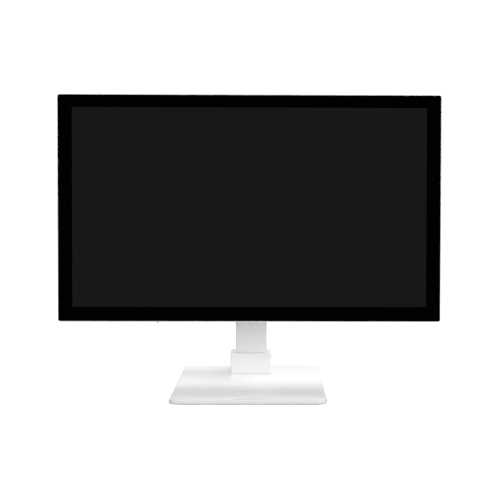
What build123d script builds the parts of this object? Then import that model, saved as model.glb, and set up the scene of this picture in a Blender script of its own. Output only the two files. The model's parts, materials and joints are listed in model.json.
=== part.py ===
"""Video magnifier: a tilting display with a folding camera arm, on a column and a base plate.

Frame: the origin is on the table, at the centre of the base plate's outline. +Z is up and the
screen faces -Y. All lengths are in millimetres.
"""

import os
from math import cos, radians, sin

from build123d import *

os.makedirs("parts", exist_ok=True)

# ----------------------------------------------------------------------------
# Driving dimensions
# ----------------------------------------------------------------------------

# Base plate, on four rubber feet
base_w = 223
base_d = 212
base_t = 5.5
foot_h = 1
base_front_r = 14
base_rear_r = 4
base_edge_r = 1.8
base_under_r = 0.6
base_top = foot_h + base_t

# Swivel: a spindle through the plate, held from below by a retainer in a recess
swivel_y = 68.4
spindle_r = 10
spindle_boss_r = 6
spindle_boss_h = 4.6
washer_r = 17
washer_bore_r = 11
washer_t = 0.8
retainer_r = 22
retainer_t = 1.2
recess_r = 24
recess_h = 2.1
swivel_screw_pcd = 15
swivel_screw_h = 8.6
swivel_tap_h = 4

# Collar and column
collar_w = 67
collar_d = 40
collar_top = 38.3
collar_wall = 2.5
collar_corner_r = 4
collar_edge_r = 1.6
collar_lift = 0.5
column_w = 51
column_d = 20
column_wall = 2
column_r = 1.2
column_front = 61.7
column_top = 385
cap_t = 4
cap_plug = 4
column_y = column_front + column_d / 2

# Lift carriage inside the column, here at its resting height
carriage_z = 273
carriage_h = 80
carriage_w = 42
carriage_d = 12
neck_w = 13
neck_h = 60
lift_down = 50
lift_up = 60

# Display: active area of a 23.8 inch 16:9 panel, tilted back
tilt = 3.45
screen_y = -17.55
screen_z = 273.5
active_w = 527.04
active_h = 296.46
border_side = 21
border_top = 18.4
border_bottom = 21.3
glass_t = 1.8
glass_r = 2.5
rim = 1.6
case_r = 5
frame_d = 10
pan_d = 10
pan_taper = 6
wall = 2.2
hump_d = 24
frame_front = 0.6

# Clearances
running = 0.05
screw_fit = 0.05
loose = 0.3
snug = 0.02
touch = 0.1

# Tilt hinge, behind the display
hinge_depth = 60
hinge_ear_r = 9
tilt_pin_r = 4

# Camera arm, folded down behind the display
arm_x = 160
arm_top_v = 150
arm_depth = 36
arm_length = 150
arm_w = 30
arm_t = 10
arm_end_r = 7
head_w = 44
head_h = 52
head_t = 20

# Sizes that follow from the driving dimensions
glass_w = active_w + 2 * border_side
glass_h = active_h + border_top + border_bottom
glass_v = (border_top - border_bottom) / 2
case_w = glass_w + 2 * rim
case_h = glass_h + 2 * rim
case_bottom_v = glass_v - case_h / 2
back = frame_d + pan_d
hump_back = back + hump_d

# The display's own plane: x along the screen, y up the screen, normal towards the reader
screen = Plane(
    origin=(0, screen_y, screen_z),
    x_dir=(1, 0, 0),
    z_dir=(0, -cos(radians(tilt)), sin(radians(tilt))),
)
hinge_axis = screen.from_local_coords((0, 0, -hinge_depth))


def behind(depth, x=0, v=0):
    """The screen's plane moved back by depth, with its origin moved by x and v."""
    return Plane(screen.from_local_coords((x, v, -depth)), x_dir=screen.x_dir, z_dir=screen.z_dir)


def rearward(depth, x=0, v=0):
    """The same plane turned to face the rear; its local x runs to -X and its local y up."""
    return Plane(screen.from_local_coords((x, v, -depth)), x_dir=-screen.x_dir, z_dir=-screen.z_dir)


def sideways(depth, x=0, v=0):
    """A plane facing +X through a point of the display; local x runs up, local y forward."""
    return Plane(screen.from_local_coords((x, v, -depth)), x_dir=screen.y_dir, z_dir=(1, 0, 0))


def pan_head_screws(plane, spots, shank_r, length, head_r, head_h):
    """Socket screws with their heads on the plane and their shanks running down into it."""
    with BuildPart() as screws:
        with BuildSketch(plane):
            with Locations(*spots):
                Circle(head_r)
        extrude(amount=head_h)
        head_tops = screws.faces().sort_by(Axis(plane.origin, plane.z_dir))[-len(spots):]
        chamfer(head_tops.edges(), head_h / 5)
        with BuildSketch(plane):
            with Locations(*spots):
                Circle(shank_r)
        extrude(amount=-length)
        with BuildSketch(plane.offset(head_h)):
            with Locations(*spots):
                RegularPolygon(head_r * 0.5, 6)
        extrude(amount=-head_h * 0.6, mode=Mode.SUBTRACT)
    return screws


# ----------------------------------------------------------------------------
# Base
# ----------------------------------------------------------------------------

feet_spread = (190, 176)
pad_r = 7
pad_sunk = 0.6
pad_chamfer = 0.4

with BuildPart() as base_plate:
    with BuildSketch(Plane.XY.offset(foot_h)) as base_outline:
        Rectangle(base_w, base_d)
        fillet(base_outline.vertices().group_by(Axis.Y)[0], base_front_r)
        fillet(base_outline.vertices().group_by(Axis.Y)[-1], base_rear_r)
    extrude(amount=base_t)
    fillet(base_plate.faces().sort_by(Axis.Z)[-1].edges(), base_edge_r)
    fillet(base_plate.faces().sort_by(Axis.Z)[0].edges(), base_under_r)
    # Retainer recess and spindle bore
    with BuildSketch(Plane.XY.offset(foot_h)):
        with Locations((0, swivel_y)):
            Circle(recess_r)
    extrude(amount=recess_h, mode=Mode.SUBTRACT)
    with BuildSketch(Plane.XY.offset(foot_h)):
        with Locations((0, swivel_y)):
            Circle(spindle_r + running)
    extrude(amount=base_t, mode=Mode.SUBTRACT)
    # Pockets that seat the feet
    with BuildSketch(Plane.XY.offset(foot_h)):
        with GridLocations(*feet_spread, 2, 2):
            Circle(pad_r + touch)
    extrude(amount=pad_sunk, mode=Mode.SUBTRACT)
base_plate.part.label = "base_plate"
export_step(base_plate.part, "parts/base_plate.step")

with BuildPart() as base_feet:
    with BuildSketch(Plane.XY):
        with GridLocations(*feet_spread, 2, 2):
            Circle(pad_r)
    extrude(amount=foot_h + pad_sunk)
    chamfer(base_feet.faces().sort_by(Axis.Z)[:4].edges(), pad_chamfer)
base_feet.part.label = "base_feet"
export_step(base_feet.part, "parts/base_feet.step")

with BuildPart() as swivel_washer:
    with BuildSketch(Plane.XY.offset(base_top)):
        with Locations((0, swivel_y)):
            Circle(washer_r)
            Circle(washer_bore_r, mode=Mode.SUBTRACT)
    extrude(amount=washer_t)
swivel_washer.part.label = "swivel_washer"
export_step(swivel_washer.part, "parts/swivel_washer.step")

# ----------------------------------------------------------------------------
# Column, turning on the base
# ----------------------------------------------------------------------------

column_foot_z = base_top + washer_t + touch
foot_plate_t = 5
plug_top = 42
retainer_top = foot_h + recess_h - loose
m3_r = 1.5
m4_r = 2
collar_low = base_top + collar_lift
plug_w = column_w - 2 * column_wall - 2 * loose
plug_d = column_d - 2 * column_wall - 2 * loose
foot_screw_z = 25
foot_tap_depth = 14
foot_screw_spots = [(-12, foot_screw_z), (12, foot_screw_z)]
column_base = column_foot_z + foot_plate_t
column_rear_face = Plane(origin=(0, column_front + column_d, 0), x_dir=(-1, 0, 0), z_dir=(0, 1, 0))

with BuildPart() as collar_shell:
    with BuildSketch(Plane.XY.offset(collar_low)):
        with Locations((0, swivel_y)):
            RectangleRounded(collar_w, collar_d, collar_corner_r)
    extrude(amount=collar_top - collar_low)
    fillet(collar_shell.faces().sort_by(Axis.Z)[-1].edges(), collar_edge_r)
    with BuildSketch(Plane.XY.offset(collar_low)):
        with Locations((0, swivel_y)):
            RectangleRounded(collar_w - 2 * collar_wall, collar_d - 2 * collar_wall,
                             collar_corner_r - collar_wall)
    extrude(amount=collar_top - collar_low - collar_wall, mode=Mode.SUBTRACT)
    with BuildSketch(Plane.XY.offset(base_top)):
        with Locations((0, column_y)):
            RectangleRounded(column_w + 2 * loose, column_d + 2 * loose, column_r + loose)
    extrude(amount=collar_top, mode=Mode.SUBTRACT)
collar_shell.part.label = "collar_shell"
export_step(collar_shell.part, "parts/collar_shell.step")

with BuildPart() as column_foot:
    with BuildSketch(Plane.XY.offset(column_foot_z)):
        with Locations((0, swivel_y)):
            RectangleRounded(collar_w - 2 * collar_wall - 2 * loose,
                             collar_d - 2 * collar_wall - 2 * loose, collar_corner_r)
    extrude(amount=foot_plate_t)
    with BuildSketch(Plane.XY.offset(column_base)):
        with Locations((0, column_y)):
            RectangleRounded(plug_w, plug_d, 1)
    extrude(amount=plug_top - column_base)
    chamfer(column_foot.faces().sort_by(Axis.Z)[-1].edges(), 1)
    with Locations(Plane(origin=(0, swivel_y, column_foot_z), x_dir=(1, 0, 0), z_dir=(0, 0, -1))):
        Hole(spindle_boss_r + snug, depth=spindle_boss_h + 2 * touch)
        with PolarLocations(swivel_screw_pcd / 2, 3):
            Hole(m3_r + screw_fit, depth=swivel_tap_h)
    with Locations(column_rear_face):
        with Locations(*foot_screw_spots):
            Hole(m4_r + screw_fit, depth=foot_tap_depth)
column_foot.part.label = "column_foot"
export_step(column_foot.part, "parts/column_foot.step")

with BuildPart() as swivel_spindle:
    with BuildSketch(Plane.XY.offset(retainer_top)):
        with Locations((0, swivel_y)):
            Circle(spindle_r)
    extrude(amount=column_foot_z - retainer_top)
    with BuildSketch(Plane.XY.offset(column_foot_z)):
        with Locations((0, swivel_y)):
            Circle(spindle_boss_r)
    extrude(amount=spindle_boss_h)
    with Locations(Plane(origin=(0, swivel_y, retainer_top), x_dir=(1, 0, 0), z_dir=(0, 0, -1))):
        with PolarLocations(swivel_screw_pcd / 2, 3):
            Hole(m3_r + screw_fit, depth=column_foot_z - retainer_top)
swivel_spindle.part.label = "swivel_spindle"
export_step(swivel_spindle.part, "parts/swivel_spindle.step")

with BuildPart() as retainer_plate:
    with BuildSketch(Plane.XY.offset(retainer_top - retainer_t)):
        with Locations((0, swivel_y)):
            Circle(retainer_r)
    extrude(amount=retainer_t)
    with Locations(Plane(origin=(0, swivel_y, retainer_top - retainer_t), x_dir=(1, 0, 0),
                         z_dir=(0, 0, -1))):
        with PolarLocations(swivel_screw_pcd / 2, 3):
            CounterSinkHole(m3_r + screw_fit, 2 * m3_r, depth=retainer_t)
retainer_plate.part.label = "retainer_plate"
export_step(retainer_plate.part, "parts/retainer_plate.step")

with BuildPart() as retainer_screws:
    with Locations((0, swivel_y, retainer_top - retainer_t)):
        with PolarLocations(swivel_screw_pcd / 2, 3):
            Cylinder(m3_r, swivel_screw_h, align=(Align.CENTER, Align.CENTER, Align.MIN))
            Cone(2 * m3_r - touch, m3_r, retainer_t, align=(Align.CENTER, Align.CENTER, Align.MIN))
retainer_screws.part.label = "retainer_screws"
export_step(retainer_screws.part, "parts/retainer_screws.step")

slot_spare = 4.5
slot_w = neck_w + 3
slot_low = carriage_z - neck_h / 2 - lift_down - slot_spare
slot_high = carriage_z + neck_h / 2 + lift_up + slot_spare

with BuildPart() as column_tube:
    with BuildSketch(Plane.XY.offset(column_base)):
        with Locations((0, column_y)):
            RectangleRounded(column_w, column_d, column_r)
            RectangleRounded(column_w - 2 * column_wall, column_d - 2 * column_wall, 0.8,
                             mode=Mode.SUBTRACT)
    extrude(amount=column_top - cap_t - column_base)
    # Slot in the front wall for the carriage's neck
    with BuildSketch(Plane.XZ.offset(-column_front)):
        with Locations((0, (slot_low + slot_high) / 2)):
            SlotOverall(slot_high - slot_low, slot_w, rotation=90)
    extrude(amount=-column_wall - 1, mode=Mode.SUBTRACT)
    with Locations(column_rear_face):
        with Locations(*foot_screw_spots):
            Hole(m4_r + screw_fit, depth=column_wall + 1)
column_tube.part.label = "column_tube"
export_step(column_tube.part, "parts/column_tube.step")

foot_screws = pan_head_screws(column_rear_face, foot_screw_spots, m4_r, foot_tap_depth - 1, 3.2, 1.6)
foot_screws.part.label = "foot_screws"
export_step(foot_screws.part, "parts/foot_screws.step")

with BuildPart() as column_cap:
    with BuildSketch(Plane.XY.offset(column_top - cap_t)):
        with Locations((0, column_y)):
            RectangleRounded(column_w, column_d, column_r)
    extrude(amount=cap_t)
    fillet(column_cap.faces().sort_by(Axis.Z)[-1].edges(), 1)
    with BuildSketch(Plane.XY.offset(column_top - cap_t)):
        with Locations((0, column_y)):
            RectangleRounded(plug_w, plug_d, 1)
    extrude(amount=-cap_plug)
column_cap.part.label = "column_cap"
export_step(column_cap.part, "parts/column_cap.step")

gas_tube_low = plug_top + 2
gas_tube_high = 178
gas_tube_r = 6
piston_r = 4
rod_r = 2.5
piston_low = 102
piston_h = 8
gland_t = 3
tube_floor = 5

with BuildPart() as gas_spring_tube:
    with BuildSketch(Plane.XY.offset(gas_tube_low)):
        with Locations((0, column_y)):
            Circle(gas_tube_r)
    extrude(amount=gas_tube_high - gas_tube_low)
    with BuildSketch(Plane.XY.offset(gas_tube_low + tube_floor)):
        with Locations((0, column_y)):
            Circle(piston_r + running)
    extrude(amount=gas_tube_high - gland_t - gas_tube_low - tube_floor, mode=Mode.SUBTRACT)
    with BuildSketch(Plane.XY.offset(gas_tube_high - gland_t)):
        with Locations((0, column_y)):
            Circle(rod_r + running)
    extrude(amount=gland_t, mode=Mode.SUBTRACT)
gas_spring_tube.part.label = "gas_spring_tube"
export_step(gas_spring_tube.part, "parts/gas_spring_tube.step")

# ----------------------------------------------------------------------------
# Lift carriage, sliding in the column
# ----------------------------------------------------------------------------

carriage_low = carriage_z - carriage_h / 2
yoke_t = 4
yoke_back = column_front - 2
yoke_front = yoke_back - yoke_t
yoke_face = Plane(origin=(0, yoke_front, 0), x_dir=(1, 0, 0), z_dir=(0, -1, 0))
yoke_screw_spots = [(0, carriage_z + dz) for dz in (-20, -7, 7, 22)]
rod_hold = 12
yoke_tap_depth = 12
pad_rise = 28
pad_offset = 14
pad_long = 12
pad_wide = 8

with BuildPart() as lift_carriage:
    with BuildSketch(Plane.XY.offset(carriage_low)):
        with Locations((0, column_y)):
            RectangleRounded(carriage_w, carriage_d, 1.5)
    extrude(amount=carriage_h)
    # Neck through the column's slot
    with BuildSketch(Plane.XZ.offset(-yoke_back)):
        with Locations((0, carriage_z)):
            Rectangle(neck_w, neck_h)
    extrude(amount=-(column_y - carriage_d / 2 - yoke_back + 1))
    with BuildSketch(Plane.XY.offset(carriage_low)):
        with Locations((0, column_y)):
            Circle(rod_r + snug)
    extrude(amount=rod_hold, mode=Mode.SUBTRACT)
    with Locations(Plane(origin=(0, yoke_back, 0), x_dir=(1, 0, 0), z_dir=(0, -1, 0))):
        with Locations(*yoke_screw_spots):
            Hole(m4_r + screw_fit, depth=yoke_tap_depth)
lift_carriage.part.label = "lift_carriage"
export_step(lift_carriage.part, "parts/lift_carriage.step")

side_gap = (column_w - 2 * column_wall - carriage_w) / 2
face_gap = (column_d - 2 * column_wall - carriage_d) / 2

with BuildPart() as glide_pads:
    for pad_z in (carriage_z - pad_rise, carriage_z + pad_rise):
        for side in (-1, 1):
            with Locations((side * (carriage_w + side_gap - loose) / 2, column_y, pad_z)):
                Box(side_gap - loose, pad_wide, pad_long)
            for face in (-1, 1):
                pad_y = column_y + face * (carriage_d + face_gap - loose) / 2
                with Locations((side * pad_offset, pad_y, pad_z)):
                    Box(pad_wide, face_gap - loose, pad_long)
glide_pads.part.label = "glide_pads"
export_step(glide_pads.part, "parts/glide_pads.step")

with BuildPart() as gas_spring_rod:
    with BuildSketch(Plane.XY.offset(piston_low)):
        with Locations((0, column_y)):
            Circle(piston_r)
    extrude(amount=piston_h)
    with BuildSketch(Plane.XY.offset(piston_low + piston_h)):
        with Locations((0, column_y)):
            Circle(rod_r)
    extrude(amount=carriage_low + rod_hold - 1 - piston_low - piston_h)
gas_spring_rod.part.label = "gas_spring_rod"
export_step(gas_spring_rod.part, "parts/gas_spring_rod.step")

yoke_w = 64
yoke_screw_l = 14
ear_t = 4
outer_ear_x = 26
inner_ear_x = 21
yoke_low = carriage_z - 30
yoke_high = carriage_z + 35
ear_reach = yoke_front - hinge_axis.Y

with BuildPart() as tilt_yoke:
    with BuildSketch(yoke_face):
        with Locations((0, (yoke_low + yoke_high) / 2)):
            RectangleRounded(yoke_w, yoke_high - yoke_low, 4)
    extrude(amount=-yoke_t)
    # Two upright ears that hold the tilt pin
    for ear_x in (-outer_ear_x - ear_t, outer_ear_x):
        with BuildSketch(Plane(origin=(ear_x, hinge_axis.Y, hinge_axis.Z), x_dir=(0, 1, 0),
                               z_dir=(1, 0, 0))):
            Circle(hinge_ear_r)
            with Locations((ear_reach / 2, 0)):
                Rectangle(ear_reach, 2 * hinge_ear_r)
            Circle(tilt_pin_r + snug, mode=Mode.SUBTRACT)
        extrude(amount=ear_t)
    with Locations(yoke_face):
        with Locations(*yoke_screw_spots):
            Hole(m4_r + screw_fit, depth=yoke_t)
tilt_yoke.part.label = "tilt_yoke"
export_step(tilt_yoke.part, "parts/tilt_yoke.step")

yoke_screws = pan_head_screws(yoke_face, yoke_screw_spots, m4_r, yoke_screw_l, 3.6, 2.2)
yoke_screws.part.label = "yoke_screws"
export_step(yoke_screws.part, "parts/yoke_screws.step")

pin_end = outer_ear_x + ear_t + 1
pin_head_r = 6.5
pin_head_t = 3
pin_thread = 6
nut_r = 6
nut_t = 5
tilt_washer_r = 7
tilt_washer_t = 0.9

with BuildPart() as tilt_pin:
    with BuildSketch(Plane(origin=(-pin_end - pin_thread, hinge_axis.Y, hinge_axis.Z), x_dir=(0, 1, 0),
                           z_dir=(1, 0, 0))):
        Circle(tilt_pin_r)
    extrude(amount=2 * pin_end + pin_thread)
    with BuildSketch(Plane(origin=(pin_end, hinge_axis.Y, hinge_axis.Z), x_dir=(0, 1, 0),
                           z_dir=(1, 0, 0))):
        Circle(pin_head_r)
    extrude(amount=pin_head_t)
    chamfer(tilt_pin.faces().sort_by(Axis.X)[-1].edges(), 0.8)
tilt_pin.part.label = "tilt_pin"
export_step(tilt_pin.part, "parts/tilt_pin.step")

with BuildPart() as tilt_nut:
    with BuildSketch(Plane(origin=(-pin_end, hinge_axis.Y, hinge_axis.Z), x_dir=(0, 1, 0),
                           z_dir=(-1, 0, 0))):
        RegularPolygon(nut_r, 6, major_radius=False)
        Circle(tilt_pin_r + snug, mode=Mode.SUBTRACT)
    extrude(amount=nut_t)
tilt_nut.part.label = "tilt_nut"
export_step(tilt_nut.part, "parts/tilt_nut.step")

with BuildPart() as tilt_washers:
    for washer_x in (-pin_end, -outer_ear_x, inner_ear_x + ear_t, outer_ear_x + ear_t):
        with BuildSketch(Plane(origin=(washer_x + running, hinge_axis.Y, hinge_axis.Z),
                               x_dir=(0, 1, 0), z_dir=(1, 0, 0))):
            Circle(tilt_washer_r)
            Circle(tilt_pin_r + snug, mode=Mode.SUBTRACT)
        extrude(amount=tilt_washer_t)
tilt_washers.part.label = "tilt_washers"
export_step(tilt_washers.part, "parts/tilt_washers.step")

# ----------------------------------------------------------------------------
# Display: glass and panel, from front to back
# ----------------------------------------------------------------------------

mask_t = 0.4
ledge_front = glass_t + mask_t
ledge_t = 2
tray_w = 539
tray_h = 309
tray_front = 2.5
tray_back = 8.5
tray_wall = 0.8
panel_front = 2.6
panel_t = 1.2
diffuser_front = 4
diffuser_t = 0.6
guide_front = 4.7
guide_t = 2.3
guide_w = tray_w - 5
guide_h = 298
reflector_t = 0.3
led_pitch = 12
led_count = 44
led_bar_h = 1.6

with BuildPart() as cover_glass:
    with BuildSketch(behind(0, v=glass_v)):
        RectangleRounded(glass_w, glass_h, glass_r)
    extrude(amount=-glass_t)
    chamfer(cover_glass.faces().sort_by(Axis(screen.origin, screen.z_dir))[-1].edges(), 0.3)
cover_glass.part.label = "cover_glass"
export_step(cover_glass.part, "parts/cover_glass.step")

with BuildPart() as border_mask:
    with BuildSketch(behind(glass_t)):
        with Locations((0, glass_v)):
            RectangleRounded(glass_w - 2, glass_h - 2, glass_r - 1)
        Rectangle(active_w, active_h, mode=Mode.SUBTRACT)
    extrude(amount=-mask_t)
border_mask.part.label = "border_mask"
export_step(border_mask.part, "parts/border_mask.step")

with BuildPart() as lcd_panel:
    with BuildSketch(behind(panel_front)):
        Rectangle(tray_w - 3, tray_h - 3)
    extrude(amount=-panel_t)
lcd_panel.part.label = "lcd_panel"
export_step(lcd_panel.part, "parts/lcd_panel.step")

with BuildPart() as diffuser_sheets:
    with BuildSketch(behind(diffuser_front)):
        Rectangle(guide_w, tray_h - 6)
    extrude(amount=-diffuser_t)
diffuser_sheets.part.label = "diffuser_sheets"
export_step(diffuser_sheets.part, "parts/diffuser_sheets.step")

with BuildPart() as light_guide:
    with BuildSketch(behind(guide_front)):
        Rectangle(guide_w, guide_h)
    extrude(amount=-guide_t)
light_guide.part.label = "light_guide"
export_step(light_guide.part, "parts/light_guide.step")

with BuildPart() as reflector_sheet:
    with BuildSketch(behind(guide_front + guide_t + touch)):
        Rectangle(guide_w, guide_h)
    extrude(amount=-reflector_t)
reflector_sheet.part.label = "reflector_sheet"
export_step(reflector_sheet.part, "parts/reflector_sheet.step")

with BuildPart() as led_bar:
    with BuildSketch(behind(guide_front, v=-guide_h / 2 - 3)):
        Rectangle(tray_w - 8, led_bar_h)
        # The lamps stand on the bar and face the guide's lower edge
        with Locations((0, led_bar_h * 3 / 4)):
            with GridLocations(led_pitch, 1, led_count, 1):
                Rectangle(5, led_bar_h / 2)
    extrude(amount=-guide_t + touch)
led_bar.part.label = "led_bar"
export_step(led_bar.part, "parts/led_bar.step")

with BuildPart() as backlight_tray:
    with BuildSketch(behind(tray_front)):
        Rectangle(tray_w, tray_h)
    extrude(amount=-(tray_back - tray_front))
    with BuildSketch(behind(tray_front)):
        Rectangle(tray_w - 2 * tray_wall, tray_h - 2 * tray_wall)
    extrude(amount=-(tray_back - tray_front - tray_wall), mode=Mode.SUBTRACT)
backlight_tray.part.label = "backlight_tray"
export_step(backlight_tray.part, "parts/backlight_tray.step")

# ----------------------------------------------------------------------------
# Display: casing
# ----------------------------------------------------------------------------

button_x = -138
button_depth = 7.2
button_r = 1.7
button_proud = 1.8
button_travel = 0.8
under_case = Plane(screen.from_local_coords((button_x, case_bottom_v, -button_depth)),
                   x_dir=(1, 0, 0), z_dir=-screen.y_dir)

with BuildPart() as front_frame:
    with BuildSketch(behind(frame_front, v=glass_v)):
        RectangleRounded(case_w, case_h, case_r)
    extrude(amount=-(frame_d - frame_front))
    fillet(front_frame.faces().sort_by(Axis(screen.origin, screen.z_dir))[-1].edges(), 0.8)
    # Seat of the glass
    with BuildSketch(behind(0, v=glass_v)):
        RectangleRounded(glass_w + 0.4, glass_h + 0.4, glass_r + 0.2)
    extrude(amount=-ledge_front, mode=Mode.SUBTRACT)
    # Opening for the panel's tray, and the hollow behind the ledge
    with BuildSketch(behind(0)):
        Rectangle(tray_w + 2, tray_h + 2)
    extrude(amount=-frame_d, mode=Mode.SUBTRACT)
    with BuildSketch(behind(ledge_front + ledge_t, v=glass_v)):
        RectangleRounded(case_w - 2 * wall, case_h - 2 * wall, case_r - wall)
    extrude(amount=-frame_d, mode=Mode.SUBTRACT)
    with Locations(under_case):
        Hole(button_r + 0.3, depth=wall + 1)
front_frame.part.label = "front_frame"
export_step(front_frame.part, "parts/front_frame.step")

window_w = 170
window_low = -105
window_high = 58
vent_v = 108
vent_count = 27
vent_pitch = 8
grille_count = 7
grille_pitch = 6
speaker_x = 205
speaker_v = -140
service_screw_spots = [(x, v) for x in (-102, 102) for v in (-112, 60)]

with BuildPart() as rear_cover:
    with BuildSketch(behind(frame_d, v=glass_v)):
        RectangleRounded(case_w, case_h, case_r)
    with BuildSketch(behind(back, v=glass_v)):
        RectangleRounded(case_w - 2 * pan_taper, case_h - 2 * pan_taper, case_r + 3)
    loft()
    fillet(rear_cover.faces().sort_by(Axis(screen.origin, screen.z_dir))[0].edges(), 3)
    with BuildSketch(behind(frame_d, v=glass_v)):
        RectangleRounded(case_w - 2 * wall, case_h - 2 * wall, case_r - wall)
    with BuildSketch(behind(back - wall, v=glass_v)):
        RectangleRounded(case_w - 2 * pan_taper - wall, case_h - 2 * pan_taper - wall, case_r + 1)
    loft(mode=Mode.SUBTRACT)
    # Window for the electronics, closed by the service cover
    with BuildSketch(behind(frame_d)):
        with Locations((0, (window_low + window_high) / 2)):
            RectangleRounded(window_w, window_high - window_low, 6)
    extrude(amount=-pan_d, mode=Mode.SUBTRACT)
    # Vents along the top and grilles behind the speakers
    with BuildSketch(behind(back)):
        with Locations((0, vent_v)):
            with GridLocations(vent_pitch, 1, vent_count, 1):
                SlotOverall(24, 3, rotation=90)
        with Locations((-speaker_x, speaker_v), (speaker_x, speaker_v)):
            with GridLocations(grille_pitch, 1, grille_count, 1):
                SlotOverall(13, 2.4, rotation=90)
    extrude(amount=wall + 1, mode=Mode.SUBTRACT)
    with Locations(rearward(back)):
        with Locations(*service_screw_spots):
            Hole(m3_r + screw_fit, depth=wall + 1)
rear_cover.part.label = "rear_cover"
export_step(rear_cover.part, "parts/rear_cover.step")

hump_w = 250
hump_low = -125
hump_high = 84
hump_taper = 12
hump_top_taper = 16
port_depth = 27
port_panel_w = 112
port_panel_h = 12.4
boss_r = 5.5
screw_seat = 30
service_screw_l = 12
hump_mid = (hump_low + hump_high) / 2
hump_h = hump_high - hump_low
port_plane = Plane(screen.from_local_coords((0, hump_low, -port_depth)), x_dir=(1, 0, 0),
                   z_dir=-screen.y_dir)
vesa_spots = [(x, v) for x in (-50, 50) for v in (-50, 50)]

with BuildPart() as service_cover:
    with BuildSketch(behind(back, v=hump_mid)):
        RectangleRounded(hump_w, hump_h, 12)
    with BuildSketch(behind(hump_back, v=hump_mid - hump_top_taper / 2)):
        RectangleRounded(hump_w - 2 * hump_taper, hump_h - hump_top_taper, 10)
    loft()
    fillet(service_cover.faces().sort_by(Axis(screen.origin, screen.z_dir))[0].edges(), 4)
    with BuildSketch(behind(back, v=hump_mid)):
        RectangleRounded(hump_w - 2 * wall - 1, hump_h - 2 * wall - 1, 10)
    with BuildSketch(behind(hump_back - wall, v=hump_mid - hump_top_taper / 2)):
        RectangleRounded(hump_w - 2 * hump_taper - 2 * wall - 1,
                         hump_h - hump_top_taper - 2 * wall - 1, 8)
    loft(mode=Mode.SUBTRACT)
    # Bosses for the screws that hold the cover to the pan
    with BuildSketch(behind(back)):
        with Locations(*service_screw_spots):
            Circle(boss_r)
    extrude(amount=-(hump_d - 1))
    with BuildSketch(behind(hump_back)):
        with Locations(*service_screw_spots):
            Circle(boss_r - 1.5)
    extrude(amount=hump_back - screw_seat, mode=Mode.SUBTRACT)
    with BuildSketch(behind(hump_back)):
        with Locations(*service_screw_spots):
            Circle(m3_r + screw_fit)
        with Locations(*vesa_spots):
            Circle(m4_r + screw_fit)
    extrude(amount=hump_d, mode=Mode.SUBTRACT)
    with BuildSketch(port_plane):
        Rectangle(port_panel_w + 0.4, port_panel_h + 0.4)
    extrude(amount=-2 * wall, mode=Mode.SUBTRACT)
service_cover.part.label = "service_cover"
export_step(service_cover.part, "parts/service_cover.step")

service_screws = pan_head_screws(rearward(screw_seat), service_screw_spots, m3_r, service_screw_l, 3, 2)
service_screws.part.label = "service_screws"
export_step(service_screws.part, "parts/service_screws.step")

# ----------------------------------------------------------------------------
# Display: chassis and tilt bracket
# ----------------------------------------------------------------------------

chassis_w = 124
chassis_t = 2
bracket_w = 116
bracket_t = 3
chassis_flange = 16
chassis_back = hump_back - wall - 0.2
flange_front = tray_back + touch

with BuildPart() as chassis_bracket:
    with BuildSketch(behind(chassis_back)):
        RectangleRounded(chassis_w, chassis_w - 8, 5)
    extrude(amount=chassis_t)
    with BuildSketch(behind(chassis_back - chassis_t / 2)):
        with GridLocations(chassis_w - chassis_t, 1, 2, 1):
            Rectangle(chassis_t, chassis_w - 20)
    extrude(amount=chassis_back - chassis_t / 2 - flange_front)
    with BuildSketch(behind(flange_front)):
        with GridLocations(chassis_w + chassis_flange - 2 * chassis_t, 1, 2, 1):
            Rectangle(chassis_flange, chassis_w - 20)
    extrude(amount=-chassis_t)
    with Locations(rearward(chassis_back)):
        with Locations(*vesa_spots):
            Hole(m4_r + snug, depth=chassis_t)
chassis_bracket.part.label = "chassis_bracket"
export_step(chassis_bracket.part, "parts/chassis_bracket.step")

with BuildPart() as tilt_bracket:
    with BuildSketch(behind(hump_back)):
        RectangleRounded(bracket_w, bracket_w, 7)
        with GridLocations(1, 72, 1, 2):
            SlotOverall(56, 12, mode=Mode.SUBTRACT)
    extrude(amount=-bracket_t)
    # Two inner ears that turn on the tilt pin
    for ear_x in (-inner_ear_x - ear_t, inner_ear_x):
        with BuildSketch(sideways(hinge_depth, x=ear_x)):
            Circle(hinge_ear_r)
            with Locations((0, (hinge_depth - hump_back - bracket_t) / 2)):
                Rectangle(2 * hinge_ear_r, hinge_depth - hump_back - bracket_t)
            Circle(tilt_pin_r + running, mode=Mode.SUBTRACT)
        extrude(amount=ear_t)
    with Locations(rearward(hump_back + bracket_t)):
        with Locations(*vesa_spots):
            Hole(m4_r + screw_fit, depth=bracket_t)
tilt_bracket.part.label = "tilt_bracket"
export_step(tilt_bracket.part, "parts/tilt_bracket.step")

bracket_screws = pan_head_screws(rearward(hump_back + bracket_t), vesa_spots, m4_r, 9, 3.8, 2.4)
bracket_screws.part.label = "bracket_screws"
export_step(bracket_screws.part, "parts/bracket_screws.step")

# ----------------------------------------------------------------------------
# Display: electronics
# ----------------------------------------------------------------------------

board_front = 22
board_t = 1.6
board_back = board_front + board_t
board_y = port_depth - board_back
socket_gap = 0.15
chip_spot = (-10, -68)
chip_t = 1.4
power_part_h = 9
sink_w = 44
sink_floor = 2
fin_t = 1.4
fin_h = 9
fin_count = 9
fin_pitch = 5.2

with BuildPart() as main_board:
    with BuildSketch(behind(board_front)):
        with Locations((0, -66)):
            Rectangle(108, 88)
    extrude(amount=-board_t)
    # Processor, memory and smaller parts
    with BuildSketch(behind(board_back)):
        with Locations(chip_spot):
            Rectangle(24, 24)
        with Locations((28, -84), (28, -64), (28, -44), (-42, -50)):
            Rectangle(13, 9)
    extrude(amount=-chip_t)
main_board.part.label = "main_board"
export_step(main_board.part, "parts/main_board.step")

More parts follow.
